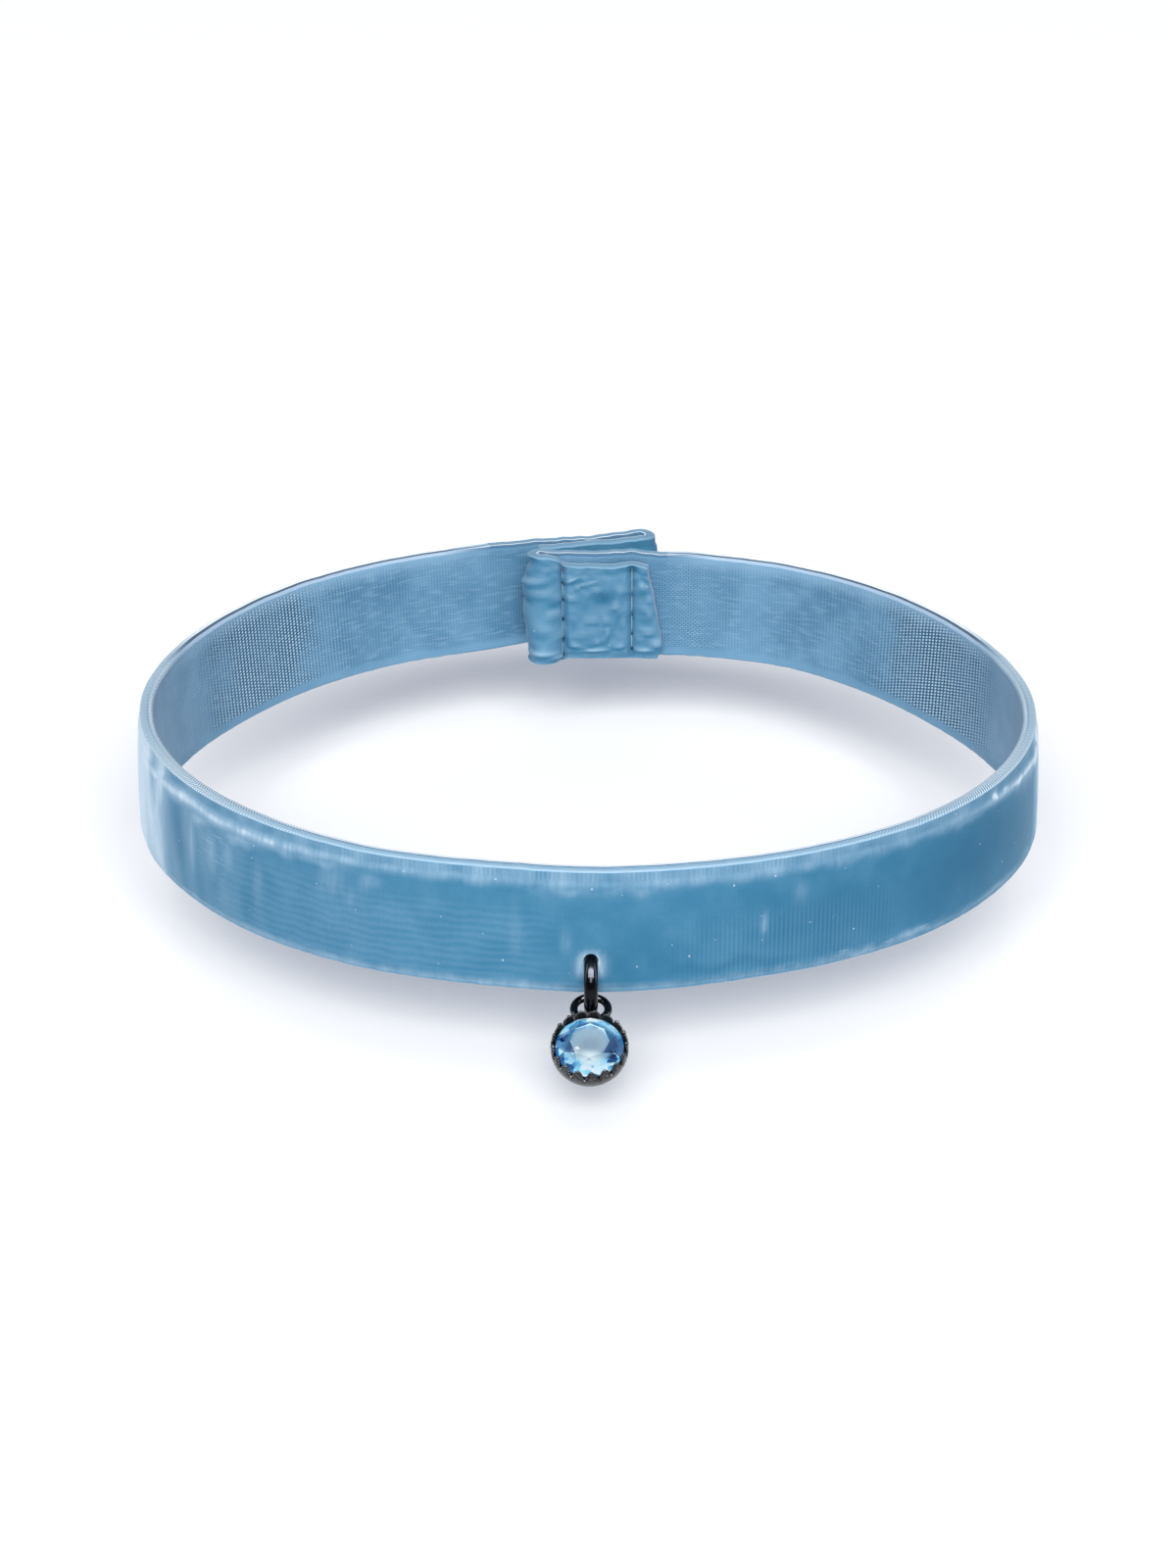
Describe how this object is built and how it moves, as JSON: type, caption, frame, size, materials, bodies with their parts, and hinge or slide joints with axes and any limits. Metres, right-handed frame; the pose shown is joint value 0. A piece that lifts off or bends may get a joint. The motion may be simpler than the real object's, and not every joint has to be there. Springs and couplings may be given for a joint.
{
  "type": "velvet bracelet",
  "caption": "Closed velvet ribbon bracelet with an overlapping sewn closure and a small round stone drop in a crown setting, hung on a jump ring at the front.",
  "frame": {"origin": "centre of the wrist hollow at half the ribbon's height", "axes": "+Z along the wrist, upwards; the drop is at the front on -Y and the closure at the back on +Y"},
  "size_m": [0.0605, 0.0671, 0.0121],
  "materials": {
    "velvet": "short dense pile, woven back",
    "fastener": "matte",
    "gunmetal": "polished dark plating",
    "stone": "faceted"
  },
  "bodies": {
    "band": {"velvet_band": "velvet", "closure_fastener": "fastener"},
    "ring": {"jump_ring": "gunmetal"},
    "drop": {"crown_setting": "gunmetal", "stone": "stone"}
  },
  "joints": [
    {"name": "ring_swing", "type": "hinge", "parent": "band", "child": "ring", "pos_m": [0, -0.02858, -0.00177], "axis": [0, 1, 0], "range_deg": [-15, 15]},
    {"name": "drop_swing", "type": "hinge", "parent": "ring", "child": "drop", "pos_m": [0, -0.02858, -0.00453], "axis": [1, 0, 0], "range_deg": [-5, 110]}
  ]
}
